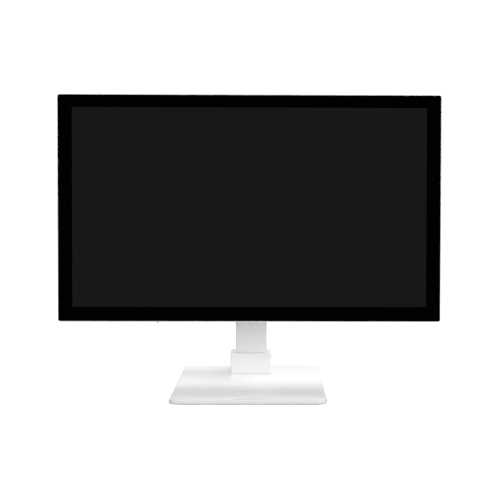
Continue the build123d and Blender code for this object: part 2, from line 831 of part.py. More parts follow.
with BuildPart() as heat_sink:
    with BuildSketch(behind(board_back + chip_t + touch)):
        with Locations(chip_spot):
            Rectangle(sink_w, sink_w)
    extrude(amount=-sink_floor)
    with BuildSketch(behind(board_back + chip_t + touch + sink_floor)):
        with Locations(chip_spot):
            with GridLocations(fin_pitch, 1, fin_count, 1):
                Rectangle(fin_t, sink_w)
    extrude(amount=-fin_h)
heat_sink.part.label = "heat_sink"
export_step(heat_sink.part, "parts/heat_sink.step")

with BuildPart() as power_board:
    with BuildSketch(behind(board_front)):
        with Locations((0, 8)):
            Rectangle(100, 44)
    extrude(amount=-board_t)
    # Two capacitors, the transformer and a choke
    with BuildSketch(behind(board_back)):
        with Locations((-36, 8), (-20, 8)):
            Circle(6)
        with Locations((4, 8)):
            Rectangle(22, 20)
        with Locations((34, 12)):
            Rectangle(16, 12)
    extrude(amount=-power_part_h)
power_board.part.label = "power_board"
export_step(power_board.part, "parts/power_board.step")

dc_x = -40
hdmi_x = -14
usb_x = (14, 38)
dc_size = (10, 9)
hdmi_size = (15.4, 6)
usb_size = (14, 6.8)
socket_hole = 0.4
dc_bore_r = 3.2
dc_pin_r = 1
dc_bore_depth = 9
dc_rear = 4
socket_end = 2
tongue_inset = 1.5
speaker_t = 7
speaker_dish = 1.5

with BuildPart() as port_panel:
    with BuildSketch(port_plane):
        Rectangle(port_panel_w, port_panel_h)
        with Locations((dc_x, board_y - dc_size[1] / 2)):
            Rectangle(dc_size[0] + socket_hole, dc_size[1] + socket_hole, mode=Mode.SUBTRACT)
        with Locations((hdmi_x, board_y - hdmi_size[1] / 2)):
            Rectangle(hdmi_size[0] + socket_hole, hdmi_size[1] + socket_hole, mode=Mode.SUBTRACT)
        for x in usb_x:
            with Locations((x, board_y - usb_size[1] / 2)):
                Rectangle(usb_size[0] + socket_hole, usb_size[1] + socket_hole, mode=Mode.SUBTRACT)
    extrude(amount=-wall)
port_panel.part.label = "port_panel"
export_step(port_panel.part, "parts/port_panel.step")



def socket_plane(x):
    """The outer face of a socket that stands on the main board at this x, facing down."""
    return Plane(port_plane.from_local_coords((x, board_y - socket_gap, 0)),
                 x_dir=port_plane.x_dir, z_dir=port_plane.z_dir)


with BuildPart() as dc_inlet:
    with BuildSketch(socket_plane(dc_x)):
        with Locations((0, -dc_size[1] / 2)):
            Rectangle(dc_size[0], dc_size[1] - socket_gap)
            Circle(dc_bore_r, mode=Mode.SUBTRACT)
            Circle(dc_pin_r)
    extrude(amount=-dc_bore_depth)
    with BuildSketch(socket_plane(dc_x).offset(-dc_bore_depth)):
        with Locations((0, -dc_size[1] / 2)):
            Rectangle(dc_size[0], dc_size[1] - socket_gap)
    extrude(amount=-dc_rear)
dc_inlet.part.label = "dc_inlet"
export_step(dc_inlet.part, "parts/dc_inlet.step")


def tongue_socket(plane, size, shell, tongue, depth):
    """A data socket: a thin metal shell round a plastic tongue, closed at its inner end."""
    with BuildPart() as socket:
        with BuildSketch(plane):
            with Locations((0, -size[1] / 2)):
                Rectangle(size[0], size[1] - socket_gap)
        extrude(amount=-depth)
        with BuildSketch(plane):
            with Locations((0, -size[1] / 2)):
                Rectangle(size[0] - 2 * shell, size[1] - socket_gap - 2 * shell)
        extrude(amount=-depth + socket_end, mode=Mode.SUBTRACT)
        with BuildSketch(plane.offset(-tongue_inset)):
            with Locations((0, -size[1] / 2)):
                Rectangle(*tongue)
        extrude(amount=-depth + tongue_inset + socket_end / 2)
    return socket


hdmi_socket = tongue_socket(socket_plane(hdmi_x), hdmi_size, 0.6, (10.5, 1.6), 12)
hdmi_socket.part.label = "hdmi_socket"
export_step(hdmi_socket.part, "parts/hdmi_socket.step")

with BuildPart() as usb_sockets:
    for x in usb_x:
        add(tongue_socket(socket_plane(x), usb_size, 0.7, (10.5, 1.8), 14).part)
usb_sockets.part.label = "usb_sockets"
export_step(usb_sockets.part, "parts/usb_sockets.step")

with BuildPart() as speakers:
    with BuildSketch(behind(tray_back + 1)):
        with Locations((-speaker_x, speaker_v), (speaker_x, speaker_v)):
            RectangleRounded(48, 17, 4)
    extrude(amount=-speaker_t)
    with BuildSketch(behind(tray_back + 1 + speaker_t)):
        with Locations((-speaker_x, speaker_v), (speaker_x, speaker_v)):
            SlotOverall(40, 12)
    extrude(amount=speaker_dish, mode=Mode.SUBTRACT)
speakers.part.label = "speakers"
export_step(speakers.part, "parts/speakers.step")

# ----------------------------------------------------------------------------
# Menu button under the casing, and its switch
# ----------------------------------------------------------------------------

button_inside = 5
flange_r = 2.7
flange_t = 0.8
flange_gap = 0.4
switch_h = 3.4

with BuildPart() as menu_button:
    with BuildSketch(under_case.offset(button_proud)):
        Circle(button_r)
    extrude(amount=-button_proud - button_inside)
    fillet(menu_button.faces().sort_by(Axis.Z)[0].edges(), 0.6)
    with BuildSketch(under_case.offset(-wall - flange_gap)):
        Circle(flange_r)
    extrude(amount=-flange_t)
menu_button.part.label = "menu_button"
export_step(menu_button.part, "parts/menu_button.step")

with BuildPart() as menu_switch:
    with BuildSketch(under_case.offset(-button_inside - button_travel - 2 * touch)):
        Rectangle(6.4, 5)
    extrude(amount=-switch_h)
    fillet(menu_switch.edges().filter_by(Axis(screen.origin, screen.y_dir)), 0.5)
menu_switch.part.label = "menu_switch"
export_step(menu_switch.part, "parts/menu_switch.step")

# ----------------------------------------------------------------------------
# Camera arm, folded down behind the display
# ----------------------------------------------------------------------------

arm_pin_r = 3
head_pin_r = 2
lug_half = arm_w / 2 + 0.7
arm_ear_t = 4
arm_plate_v = arm_top_v - 7
arm_plate_t = 3
arm_pin_head_r = 4.6
arm_pin_head_t = 2
head_pin_head_r = 3.4
head_pin_head_t = 1.4
bumper_r = 6
bumper_up = 30
arm_screw_spots = [(x, v) for x in (-9, 9) for v in (-9, 6)]
arm_plate_rear = rearward(back + arm_plate_t, x=arm_x, v=arm_plate_v)

with BuildPart() as arm_bracket:
    with BuildSketch(behind(back, x=arm_x, v=arm_plate_v)):
        RectangleRounded(2 * (lug_half + arm_ear_t), 28, 3)
    extrude(amount=-arm_plate_t)
    for ear_x in (arm_x - lug_half - arm_ear_t, arm_x + lug_half):
        with BuildSketch(sideways(arm_depth, x=ear_x, v=arm_top_v)):
            Circle(arm_end_r)
            with Locations((0, (arm_depth - back - arm_plate_t) / 2)):
                Rectangle(2 * arm_end_r, arm_depth - back - arm_plate_t)
            Circle(arm_pin_r + snug, mode=Mode.SUBTRACT)
        extrude(amount=arm_ear_t)
    with Locations(arm_plate_rear):
        with Locations(*arm_screw_spots):
            Hole(m3_r + screw_fit, depth=arm_plate_t)
arm_bracket.part.label = "arm_bracket"
export_step(arm_bracket.part, "parts/arm_bracket.step")

arm_screws = pan_head_screws(arm_plate_rear, arm_screw_spots, m3_r, arm_plate_t, 2.6, 1.8)
arm_screws.part.label = "arm_screws"
export_step(arm_screws.part, "parts/arm_screws.step")

with BuildPart() as arm_pin:
    with BuildSketch(sideways(arm_depth, x=arm_x - lug_half - arm_ear_t - 1, v=arm_top_v)):
        Circle(arm_pin_r)
    extrude(amount=2 * (lug_half + arm_ear_t) + 1)
    with BuildSketch(sideways(arm_depth, x=arm_x + lug_half + arm_ear_t, v=arm_top_v)):
        Circle(arm_pin_head_r)
    extrude(amount=arm_pin_head_t)
    chamfer(arm_pin.faces().sort_by(Axis.X)[-1].edges(), 0.5)
arm_pin.part.label = "arm_pin"
export_step(arm_pin.part, "parts/arm_pin.step")

with BuildPart() as arm_bumper:
    with BuildSketch(behind(back, x=arm_x, v=arm_top_v - arm_length + bumper_up)):
        Circle(bumper_r)
    extrude(amount=-(arm_depth - arm_t / 2 - back - loose))
    fillet(arm_bumper.faces().sort_by(Axis(screen.origin, screen.z_dir))[0].edges(), 1)
arm_bumper.part.label = "arm_bumper"
export_step(arm_bumper.part, "parts/arm_bumper.step")

fork_gap = 21
fork_depth = 17
cable_channel = 110
arm_low_v = arm_top_v - arm_length
arm_mid_v = arm_top_v - arm_length / 2
arm_shell_t = 2

with BuildPart() as camera_arm:
    # Beam with a barrel at the hinge and a rounded end at the camera
    with BuildSketch(sideways(arm_depth, x=arm_x - arm_w / 2, v=arm_mid_v)):
        Rectangle(arm_length, arm_t)
        with Locations((arm_length / 2, 0), (-arm_length / 2, 0)):
            Circle(arm_end_r)
    extrude(amount=arm_w)
    # Channel for the cable, closed by the arm cover
    with BuildSketch(behind(arm_depth - arm_t / 2, x=arm_x, v=arm_mid_v)):
        RectangleRounded(arm_w - 2 * arm_shell_t, cable_channel, 3)
    extrude(amount=-(arm_t - arm_shell_t), mode=Mode.SUBTRACT)
    # Fork for the camera head's lug
    with BuildSketch(behind(arm_depth - arm_t, x=arm_x, v=arm_low_v)):
        Rectangle(fork_gap, fork_depth)
    extrude(amount=-2 * arm_t, mode=Mode.SUBTRACT)
    with Locations(sideways(arm_depth, x=arm_x + arm_w / 2, v=arm_top_v)):
        Hole(arm_pin_r + running)
    with Locations(sideways(arm_depth, x=arm_x + arm_w / 2, v=arm_low_v)):
        Hole(head_pin_r + snug)
camera_arm.part.label = "camera_arm"
export_step(camera_arm.part, "parts/camera_arm.step")

with BuildPart() as arm_cover:
    with BuildSketch(behind(arm_depth - arm_t / 2, x=arm_x, v=arm_mid_v)):
        RectangleRounded(arm_w - 2 * (arm_shell_t + touch), cable_channel - 2 * touch, 3 - touch)
    extrude(amount=-arm_shell_t)
arm_cover.part.label = "arm_cover"
export_step(arm_cover.part, "parts/arm_cover.step")

with BuildPart() as head_pin:
    with BuildSketch(sideways(arm_depth, x=arm_x - arm_w / 2 - 0.5, v=arm_low_v)):
        Circle(head_pin_r)
    extrude(amount=arm_w + 0.5)
    with BuildSketch(sideways(arm_depth, x=arm_x + arm_w / 2, v=arm_low_v)):
        Circle(head_pin_head_r)
    extrude(amount=head_pin_head_t)
    chamfer(head_pin.faces().sort_by(Axis.X)[-1].edges(), 0.4)
head_pin.part.label = "head_pin"
export_step(head_pin.part, "parts/head_pin.step")

# ----------------------------------------------------------------------------
# Camera head at the arm's end
# ----------------------------------------------------------------------------

head_top_v = arm_low_v - 10
head_v = head_top_v - head_h / 2
head_front = arm_depth - head_t / 2
head_back = arm_depth + head_t / 2
head_cover_t = 6
head_wall = 2
split_depth = head_back - head_cover_t
lens_r = 9
lamp_in_r = 11.5
lamp_out_r = 16
lug_r = 6.5
lug_reach = 12
lug_t = 8
lamp_t = 1.1
lens_t = 1
lens_sunk = 0.6
board_inset = 1.5

with BuildPart() as head_housing:
    with BuildSketch(behind(head_front, x=arm_x, v=head_v)):
        RectangleRounded(head_w, head_h, 8)
    extrude(amount=-(head_t - head_cover_t))
    fillet(head_housing.faces().sort_by(Axis(screen.origin, screen.z_dir))[-1].edges(), 3)
    # Lug in the arm's fork
    with BuildSketch(sideways(arm_depth, x=arm_x - fork_gap / 2 + 0.5, v=arm_low_v)):
        Circle(lug_r)
        with Locations((-lug_reach / 2, 0)):
            Rectangle(lug_reach, lug_t)
    extrude(amount=fork_gap - 1)
    with BuildSketch(behind(split_depth, x=arm_x, v=head_v)):
        RectangleRounded(head_w - 2 * head_wall, head_h - 2 * head_wall, 6)
    extrude(amount=head_t - head_cover_t - head_wall, mode=Mode.SUBTRACT)
    with Locations(sideways(arm_depth, x=arm_x + fork_gap / 2, v=arm_low_v)):
        Hole(head_pin_r + running)
head_housing.part.label = "head_housing"
export_step(head_housing.part, "parts/head_housing.step")

with BuildPart() as head_cover:
    with BuildSketch(behind(split_depth, x=arm_x, v=head_v)):
        RectangleRounded(head_w, head_h, 8)
    extrude(amount=-head_cover_t)
    fillet(head_cover.faces().sort_by(Axis(screen.origin, screen.z_dir))[0].edges(), 2.5)
    with BuildSketch(behind(split_depth, x=arm_x, v=head_v)):
        RectangleRounded(head_w - 2 * head_wall, head_h - 2 * head_wall, 6)
    extrude(amount=-(head_cover_t - head_wall), mode=Mode.SUBTRACT)
    with BuildSketch(behind(head_back, x=arm_x, v=head_v)):
        Circle(lamp_out_r + touch)
        Circle(lamp_in_r - touch, mode=Mode.SUBTRACT)
    extrude(amount=lamp_t + touch, mode=Mode.SUBTRACT)
    with BuildSketch(behind(head_back, x=arm_x, v=head_v)):
        Circle(lens_r + touch)
    extrude(amount=head_cover_t, mode=Mode.SUBTRACT)
head_cover.part.label = "head_cover"
export_step(head_cover.part, "parts/head_cover.step")

with BuildPart() as lamp_ring:
    with BuildSketch(behind(head_back, x=arm_x, v=head_v)):
        Circle(lamp_out_r)
        Circle(lamp_in_r, mode=Mode.SUBTRACT)
    extrude(amount=lamp_t)
lamp_ring.part.label = "lamp_ring"
export_step(lamp_ring.part, "parts/lamp_ring.step")

with BuildPart() as lens_window:
    with BuildSketch(behind(head_back - lens_sunk, x=arm_x, v=head_v)):
        Circle(lens_r)
    extrude(amount=lens_t)
lens_window.part.label = "lens_window"
export_step(lens_window.part, "parts/lens_window.step")

camera_board_depth = head_front + head_wall + board_inset
barrel_front = camera_board_depth + board_t + touch

with BuildPart() as camera_board:
    with BuildSketch(behind(camera_board_depth, x=arm_x, v=head_v)):
        RectangleRounded(head_w - 2 * (head_wall + board_inset), head_h - 2 * (head_wall + board_inset), 4)
    extrude(amount=-board_t)
camera_board.part.label = "camera_board"
export_step(camera_board.part, "parts/camera_board.step")

barrel_back = head_back - 2

with BuildPart() as lens_barrel:
    with BuildSketch(behind(barrel_front, x=arm_x, v=head_v)):
        Circle(lens_r - 1)
    extrude(amount=-(barrel_back - barrel_front))
    with BuildSketch(behind(barrel_back, x=arm_x, v=head_v)):
        Circle(lens_r - 3)
    with BuildSketch(behind(barrel_back - 4, x=arm_x, v=head_v)):
        Circle(3)
    loft(mode=Mode.SUBTRACT)
lens_barrel.part.label = "lens_barrel"
export_step(lens_barrel.part, "parts/lens_barrel.step")
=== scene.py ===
"""Looks for the video magnifier: materials, small fitted details, soft studio light and the camera."""

import json
import math

import bmesh
import bpy
from mathutils import Euler, Matrix, Vector


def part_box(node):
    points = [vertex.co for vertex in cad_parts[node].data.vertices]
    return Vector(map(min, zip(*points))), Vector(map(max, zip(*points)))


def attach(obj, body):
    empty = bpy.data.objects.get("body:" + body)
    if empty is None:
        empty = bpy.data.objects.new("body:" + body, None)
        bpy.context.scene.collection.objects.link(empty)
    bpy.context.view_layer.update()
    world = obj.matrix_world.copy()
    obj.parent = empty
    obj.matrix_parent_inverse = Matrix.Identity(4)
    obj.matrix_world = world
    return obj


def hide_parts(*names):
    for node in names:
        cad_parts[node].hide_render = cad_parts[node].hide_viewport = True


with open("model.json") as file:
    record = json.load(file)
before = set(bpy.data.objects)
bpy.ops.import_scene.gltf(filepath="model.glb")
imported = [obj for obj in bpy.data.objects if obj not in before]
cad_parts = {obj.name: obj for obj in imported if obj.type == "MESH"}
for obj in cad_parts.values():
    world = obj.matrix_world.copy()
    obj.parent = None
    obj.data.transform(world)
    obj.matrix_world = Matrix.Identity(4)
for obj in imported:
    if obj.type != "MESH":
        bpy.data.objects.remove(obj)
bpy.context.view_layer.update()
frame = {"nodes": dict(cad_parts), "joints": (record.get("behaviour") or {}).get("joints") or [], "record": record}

MM = 0.001
UM = 0.000001
WHITE = (1, 1, 1, 1)

# The stretch of a noise's range that most of its values fall in
NOISE_LOW = 0.35
NOISE_HIGH = 0.65

# ----------------------------------------------------------------------------
# Material helpers: every pattern follows object coordinates, in metres
# ----------------------------------------------------------------------------


class Finish:
    """One Principled material with noise-driven colour, roughness and bump added by small calls."""

    def __init__(self, name, colour, roughness, **sockets):
        self.material = bpy.data.materials.new(name)
        self.material.use_nodes = True
        self.nodes = self.material.node_tree.nodes
        self.links = self.material.node_tree.links
        self.shader = self.nodes["Principled BSDF"]
        self.shader.inputs["Base Color"].default_value = colour
        self.shader.inputs["Roughness"].default_value = roughness
        for socket, value in sockets.items():
            self.shader.inputs[socket].default_value = value
        self.place = self.nodes.new("ShaderNodeTexCoord").outputs["Object"]

    def noise(self, scale, detail=3.0, stretch=(1, 1, 1)):
        """A noise value from 0 to 1; scale is in cycles per metre, stretched along the axes."""
        mapping = self.nodes.new("ShaderNodeMapping")
        mapping.inputs["Scale"].default_value = stretch
        self.links.new(self.place, mapping.inputs["Vector"])
        texture = self.nodes.new("ShaderNodeTexNoise")
        texture.inputs["Scale"].default_value = scale
        texture.inputs["Detail"].default_value = detail
        self.links.new(mapping.outputs["Vector"], texture.inputs["Vector"])
        return texture.outputs["Fac"]

    def ramp(self, value, colours):
        """Two colours spread over the usual range of a noise value."""
        node = self.nodes.new("ShaderNodeValToRGB")
        for stop, position, colour in zip(node.color_ramp.elements, (NOISE_LOW, NOISE_HIGH), colours):
            stop.position = position
            stop.color = colour
        self.links.new(value, node.inputs["Fac"])
        return node.outputs["Color"]

    def spread(self, value, start, end, low, high):
        """The value's stretch from start to end mapped to the numbers from low to high."""
        node = self.nodes.new("ShaderNodeMapRange")
        for socket, number in (("From Min", start), ("From Max", end), ("To Min", low), ("To Max", high)):
            node.inputs[socket].default_value = number
        self.links.new(value, node.inputs["Value"])
        return node.outputs["Result"]

    def maths(self, operation, *values):
        """A maths node over other nodes' outputs and plain numbers."""
        node = self.nodes.new("ShaderNodeMath")
        node.operation = operation
        for socket, value in zip(node.inputs, values):
            if isinstance(value, (int, float)):
                socket.default_value = value
            else:
                self.links.new(value, socket)
        return node.outputs["Value"]

    def paint_shade_near(self, box, corner, reach, near, far):
        """Painted glow that fades from far, beyond reach of the box's rounded outline, to near beneath it: a
        painted shade under and around the box.
        """
        parts = self.nodes.new("ShaderNodeSeparateXYZ")
        self.links.new(self.place, parts.inputs["Vector"])
        gaps = []
        for axis, output in ((0, parts.outputs["X"]), (1, parts.outputs["Y"])):
            centre = (box[0][axis] + box[1][axis]) / 2
            half = (box[1][axis] - box[0][axis]) / 2
            away = self.maths("ABSOLUTE", self.maths("SUBTRACT", output, centre))
            gap = self.maths("MAXIMUM", self.maths("SUBTRACT", away, half - corner), 0.0)
            gaps.append(self.maths("MULTIPLY", gap, gap))
        outside = self.maths("SUBTRACT", self.maths("SQRT", self.maths("ADD", *gaps)), corner)
        self.links.new(self.spread(outside, 0, reach, near, far), self.shader.inputs["Emission Strength"])
        self.shader.inputs["Emission Color"].default_value = WHITE

    def mottle(self, colours, scale, stretch=(1, 1, 1)):
        """Base colour that drifts between two close colours."""
        colour = self.ramp(self.noise(scale, stretch=stretch), colours)
        self.links.new(colour, self.shader.inputs["Base Color"])
        return self

    def polish(self, low, high, scale, stretch=(1, 1, 1), detail=4.0):
        """Roughness that drifts between low and high."""
        noise = self.noise(scale, detail, stretch)
        self.links.new(self.spread(noise, NOISE_LOW, NOISE_HIGH, low, high), self.shader.inputs["Roughness"])
        return self

    def relief(self, scale, depth, strength=1.0, stretch=(1, 1, 1), detail=2.0):
        """Fine surface relief; depth is its height in metres."""
        bump = self.nodes.new("ShaderNodeBump")
        bump.inputs["Strength"].default_value = strength
        bump.inputs["Distance"].default_value = depth
        self.links.new(self.noise(scale, detail, stretch), bump.inputs["Height"])
        self.links.new(bump.outputs["Normal"], self.shader.inputs["Normal"])
        return self


def grey(value, warm=0.0):
    """A neutral colour, a touch warmer where warm is above 0."""
    return (value + warm, value, value - warm, 1)


# ----------------------------------------------------------------------------
# Materials, one for each slot of the record
# ----------------------------------------------------------------------------


def painted_steel():
    finish = Finish("white lacquer", grey(0.79), 0.10, **{"Coat Weight": 0.7, "Coat Roughness": 0.03})
    finish.mottle((grey(0.785), grey(0.795)), scale=9)
    finish.polish(0.09, 0.12, scale=25)
    return finish.relief(scale=300, depth=4 * UM, strength=0.3)


def white_plastic():
    finish = Finish("white gloss moulding", grey(0.80), 0.22, **{"Coat Weight": 0.2, "Coat Roughness": 0.08})
    finish.mottle((grey(0.795), grey(0.805)), scale=10)
    finish.polish(0.20, 0.25, scale=40)
    return finish.relief(scale=1500, depth=3 * UM, strength=0.3)


def white_textured():
    """The rear covers' spark-eroded grain, matt beside the glossy front frame."""
    finish = Finish("white textured moulding", grey(0.76), 0.5)
    finish.mottle((grey(0.745), grey(0.775)), scale=900)
    finish.polish(0.46, 0.56, scale=1200)
    return finish.relief(scale=1800, depth=20 * UM, strength=0.6)


def satin_column():
    finish = Finish("satin column paint", grey(0.825), 0.42)
    finish.mottle((grey(0.815), grey(0.835)), scale=12, stretch=(1, 1, 0.2))
    finish.polish(0.38, 0.48, scale=90, stretch=(1, 1, 0.15))
    return finish.relief(scale=1600, depth=10 * UM, strength=0.3)


def rubber():
    finish = Finish("black rubber", grey(0.02), 0.75)
    finish.mottle((grey(0.016), grey(0.026)), scale=60)
    return finish.relief(scale=1100, depth=120 * UM, strength=0.5)


def acetal():
    finish = Finish("acetal", grey(0.72, 0.01), 0.4)
    finish.mottle((grey(0.70, 0.01), grey(0.74, 0.01)), scale=40)
    return finish.relief(scale=700, depth=40 * UM, strength=0.3)


def grey_plastic():
    finish = Finish("grey moulding", grey(0.075), 0.5)
    finish.mottle((grey(0.07), grey(0.082)), scale=30)
    finish.polish(0.44, 0.58, scale=80)
    return finish.relief(scale=2200, depth=60 * UM, strength=0.5)


def cast_aluminium():
    finish = Finish("machined aluminium", grey(0.6), 0.38, **{"Metallic": 1.0})
    finish.mottle((grey(0.57), grey(0.63)), scale=40)
    finish.polish(0.3, 0.46, scale=150, stretch=(1, 1, 8))
    return finish.relief(scale=500, depth=40 * UM, strength=0.3, stretch=(1, 1, 10))


def steel():
    finish = Finish("turned steel", grey(0.56), 0.28, **{"Metallic": 1.0})
    finish.mottle((grey(0.53), grey(0.59)), scale=60)
    finish.polish(0.2, 0.36, scale=200, stretch=(12, 1, 1))
    return finish.relief(scale=400, depth=30 * UM, strength=0.3, stretch=(14, 1, 1))


def fastener():
    finish = Finish("zinc plated steel", grey(0.42), 0.33, **{"Metallic": 1.0})
    finish.mottle((grey(0.38), grey(0.46)), scale=300)
    finish.polish(0.26, 0.42, scale=500)
    return finish.relief(scale=1500, depth=30 * UM, strength=0.3)


def black_steel():
    finish = Finish("black powder coat", grey(0.018), 0.45)
    finish.mottle((grey(0.015), grey(0.022)), scale=50)
    finish.polish(0.38, 0.52, scale=200)
    return finish.relief(scale=1400, depth=100 * UM, strength=0.6)


def cover_glass():
    finish = Finish("cover glass", grey(1.0), 0.02, **{"Transmission Weight": 1.0, "IOR": 1.5})
    return finish.polish(0.0, 0.03, scale=18)


def border_black():
    finish = Finish("glass over black print", grey(0.0004), 0.05)
    finish.mottle((grey(0.0003), grey(0.0005)), scale=40)
    return finish.polish(0.03, 0.09, scale=22)


def lcd():
    finish = Finish("glass over dark panel", grey(0.0092), 0.05)
    finish.mottle((grey(0.0089), grey(0.0095)), scale=6)
    return finish.polish(0.03, 0.09, scale=22)


def film():
    finish = Finish("milky film", grey(0.8), 0.4)
    return finish.mottle((grey(0.79), grey(0.81)), scale=20)


def acrylic():
    finish = Finish("acrylic", grey(0.85), 0.08, **{"IOR": 1.49})
    return finish.mottle((grey(0.84), grey(0.86)), scale=20)


def led_white():
    finish = Finish("led strip", grey(0.7, 0.04), 0.4)
    return finish.mottle((grey(0.68, 0.04), grey(0.72, 0.05)), scale=80)


def zinc_sheet():
    finish = Finish("galvanised sheet", grey(0.55), 0.35, **{"Metallic": 1.0})
    finish.mottle((grey(0.48), grey(0.6)), scale=120)
    return finish.polish(0.28, 0.45, scale=120)


def circuit_board():
    finish = Finish("solder mask", (0.006, 0.07, 0.025, 1), 0.35)
    finish.mottle(((0.005, 0.06, 0.022, 1), (0.008, 0.08, 0.03, 1)), scale=200)
    return finish.relief(scale=900, depth=50 * UM, strength=0.3)


def black_plastic():
    finish = Finish("black moulding", grey(0.012), 0.42)
    finish.mottle((grey(0.010), grey(0.015)), scale=80)
    finish.polish(0.36, 0.5, scale=150)
    return finish.relief(scale=2400, depth=50 * UM, strength=0.4)


def socket_metal():
    finish = Finish("nickel plate", grey(0.55), 0.25, **{"Metallic": 1.0})
    finish.mottle((grey(0.5), grey(0.58)), scale=400)
    return finish.polish(0.2, 0.32, scale=600)


def lamp_diffuser():
    finish = Finish("milky diffuser", grey(0.8), 0.35, **{"Subsurface Weight": 0.2})
    finish.shader.inputs["Subsurface Radius"].default_value = (MM, MM, MM)
    return finish.mottle((grey(0.78), grey(0.82)), scale=200)


def lens_glass():
    finish = Finish("coated lens", (0.02, 0.02, 0.035, 1), 0.03, **{"Coat Weight": 1.0})
    finish.mottle(((0.015, 0.018, 0.04, 1), (0.03, 0.015, 0.035, 1)), scale=90)
    return finish.polish(0.02, 0.05, scale=60)


FINISHES = {make.__name__: make().material for make in (
    painted_steel, white_plastic, satin_column, rubber, acetal, grey_plastic, cast_aluminium, steel,
    fastener, black_steel, cover_glass, border_black, lcd, film, acrylic, led_white, zinc_sheet,
    circuit_board, black_plastic, socket_metal, lamp_diffuser, lens_glass)}
NODE_SLOT = {part["node"]: part["material_slot"] for part in frame["record"]["subparts"]}

TEXTURED = white_textured().material
TEXTURED_NODES = ("rear_cover", "service_cover")

for node, thing in frame["nodes"].items():
    thing.data.materials.clear()
    thing.data.materials.append(TEXTURED if node in TEXTURED_NODES else FINISHES[NODE_SLOT[node]])

# ----------------------------------------------------------------------------
# The display's own axes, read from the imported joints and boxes
# ----------------------------------------------------------------------------

SCREEN_UP = Vector(next(j["axis"] for j in frame["joints"] if j["name"] == "menu_press")).normalized()
SCREEN_RIGHT = Vector((1, 0, 0))
SCREEN_OUT = SCREEN_RIGHT.cross(SCREEN_UP)


def extent(node, axis):
    """Lowest and highest value of a node's vertices along an axis, in metres."""
    along = [corner.co.dot(axis) for corner in frame["nodes"][node].data.vertices]
    return min(along), max(along)


def middle(node, axis):
    """Half-way between a node's lowest and highest vertex along an axis."""
    return sum(extent(node, axis)) / 2


def span(node, axis):
    """A node's size along an axis."""
    low, high = extent(node, axis)
    return high - low


def on_screen(x, up, out):
    """The point with these places along the display's right, up and outward axes, in metres."""
    return SCREEN_RIGHT * x + SCREEN_UP * up + SCREEN_OUT * out


def rounded_outline(width, height, radius, steps=6):
    """Corner points, anticlockwise, of a rectangle with rounded corners about its centre."""
    points = []
    for quarter, (side, level) in enumerate(((1, 1), (-1, 1), (-1, -1), (1, -1))):
        centre = (side * (width / 2 - radius), level * (height / 2 - radius))
        for step in range(steps + 1):
            angle = math.pi / 2 * (quarter + step / steps)
            points.append((centre[0] + radius * math.cos(angle), centre[1] + radius * math.sin(angle)))
    return points


def add_piece(name, builder, finishes, body):
    """A new mesh piece with its materials, riding on a body."""
    mesh = bpy.data.meshes.new(name)
    builder.to_mesh(mesh)
    builder.free()
    for finish in finishes:
        mesh.materials.append(finish)
    piece = bpy.data.objects.new(name, mesh)
    bpy.context.scene.collection.objects.link(piece)
    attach(piece, body)
    return piece


def bridge(builder, lower, upper):
    """A band of faces between two rings with the same number of corners."""
    for step in range(len(lower)):
        after = (step + 1) % len(lower)
        builder.faces.new((lower[step], lower[after], upper[after], upper[step]))


# ----------------------------------------------------------------------------
# Cover glass: black printed border round the dark screen, with a ground edge
# ----------------------------------------------------------------------------

ACTIVE_W = 527.04 * MM
ACTIVE_H = 296.46 * MM
GLASS_CORNER = 2.5 * MM
GLASS_EDGE = 0.35 * MM


def front_glass():
    """The glass with its border printed on the front face, and the screen as a face of its own."""
    left, right = extent("cover_glass", SCREEN_RIGHT)
    bottom, top = extent("cover_glass", SCREEN_UP)
    back, front = extent("cover_glass", SCREEN_OUT)
    centre_up = (bottom + top) / 2
    builder = bmesh.new()

    def ring(inset, out):
        outline = rounded_outline(right - left - 2 * inset, top - bottom - 2 * inset, GLASS_CORNER - inset)
        return [builder.verts.new(on_screen(x, centre_up + up, out)) for x, up in outline]

    back_ring = ring(0, back)
    side_ring = ring(0, front - GLASS_EDGE)
    face_ring = ring(GLASS_EDGE, front)
    bridge(builder, back_ring, side_ring)
    bridge(builder, side_ring, face_ring)
    builder.faces.new(list(reversed(back_ring)))
    # The visible opening of the border, then border and screen as one flat face
    window = [builder.verts.new(on_screen(x, up, front)) for x, up in window_corners()]
    inner = [builder.edges.new((window[step - 1], window[step])) for step in range(len(window))]
    outer = [builder.edges.get((face_ring[step - 1], face_ring[step])) for step in range(len(face_ring))]
    bmesh.ops.triangle_fill(builder, edges=outer + inner, use_beauty=True)
    screen = builder.faces.new(window)
    screen.material_index = 1
    bmesh.ops.recalc_face_normals(builder, faces=builder.faces)
    return builder


def window_corners():
    """Corners of the active area, which shares its centre with the panel behind it."""
    centre = middle("lcd_panel", SCREEN_UP)
    return [(ACTIVE_W / 2, centre + ACTIVE_H / 2), (-ACTIVE_W / 2, centre + ACTIVE_H / 2),
            (-ACTIVE_W / 2, centre - ACTIVE_H / 2), (ACTIVE_W / 2, centre - ACTIVE_H / 2)]


glass = add_piece("front_glass", front_glass(), [FINISHES["border_black"], FINISHES["lcd"]], "display")
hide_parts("cover_glass")

# ----------------------------------------------------------------------------
# Small fitted details: seams, a blank label and the camera's lens
# ----------------------------------------------------------------------------


def band_outline(width, height, radius, centre, out):
    """Points of a rounded rectangle about centre, an (x, up) pair, at one depth of the display."""
    return [on_screen(centre[0] + x, centre[1] + up, out)
            for x, up in rounded_outline(width, height, radius)]


def level_outline(box, corner, grow, height):
    """Points of a level rounded rectangle round a box, larger than it by grow, at one height."""
    low, high = box
    centre = (low + high) / 2
    return [Vector((centre.x + x, centre.y + y, height)) for x, y in rounded_outline(
        high.x - low.x + 2 * grow, high.y - low.y + 2 * grow, corner + grow)]


